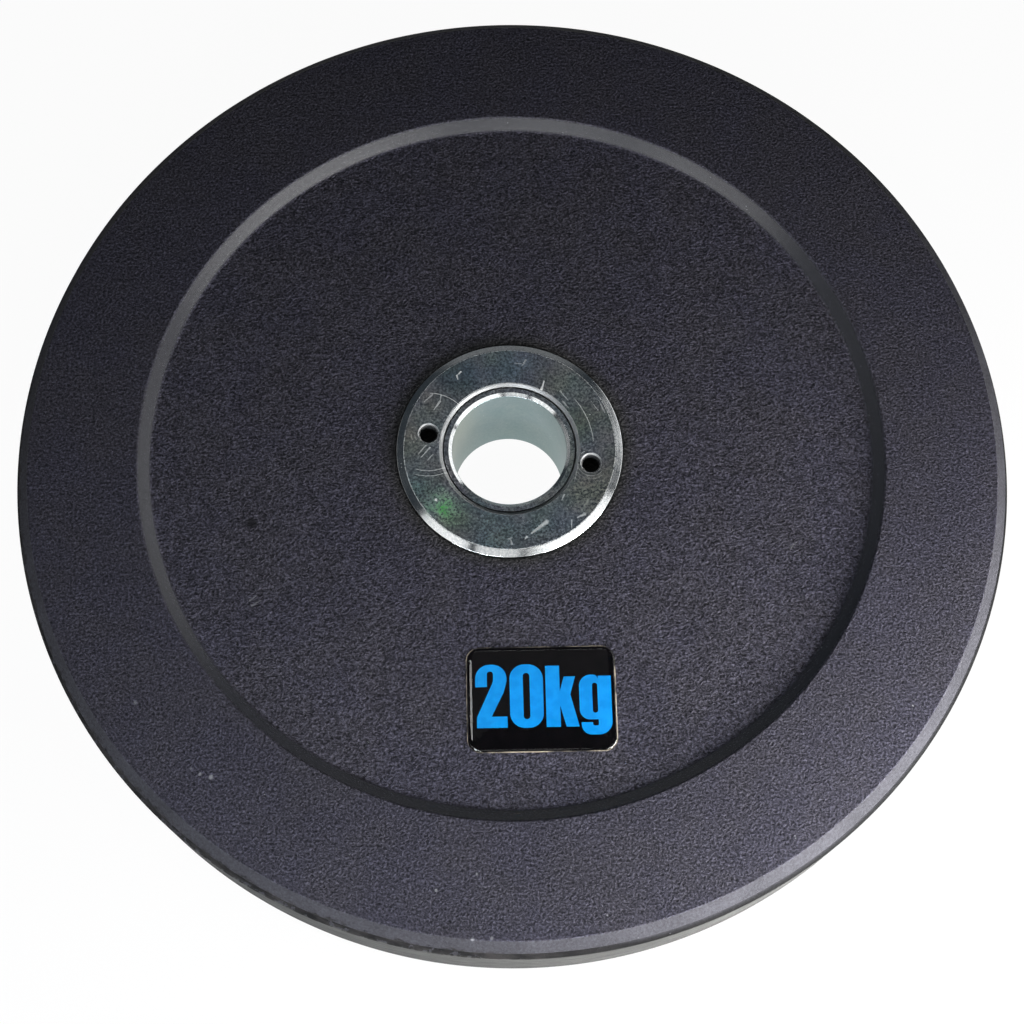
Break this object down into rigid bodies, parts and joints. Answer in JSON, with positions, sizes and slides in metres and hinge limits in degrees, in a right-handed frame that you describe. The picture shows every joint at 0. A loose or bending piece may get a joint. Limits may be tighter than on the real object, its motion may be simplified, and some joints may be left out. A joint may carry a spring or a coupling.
{
  "type": "bumper plate",
  "caption": "Solid rubber bumper plate with a sunk web on each face, a screwed flanged steel hub that slides on a bar sleeve, and a domed weight label.",
  "frame": {"origin": "centre of the lower rim face, on the bore axis", "axes": "+Z along the bore towards the label side; the label lies towards -Y; +X to the right when the label reads upright"},
  "size_m": [0.45, 0.45, 0.064],
  "materials": {
    "rubber": "matt charcoal-black moulded rubber with a fine leathery grain",
    "zinc_steel": "bright zinc-plated turned steel, lightly scratched",
    "label_print": "black printed film with a bright blue weight marking",
    "label_resin": "clear glossy poured resin"
  },
  "bodies": {
    "root": {"rubber_plate": "rubber", "hub_sleeve": "zinc_steel", "hub_ring_nut": "zinc_steel", "label_film": "label_print", "label_dome": "label_resin"}
  },
  "joints": []
}
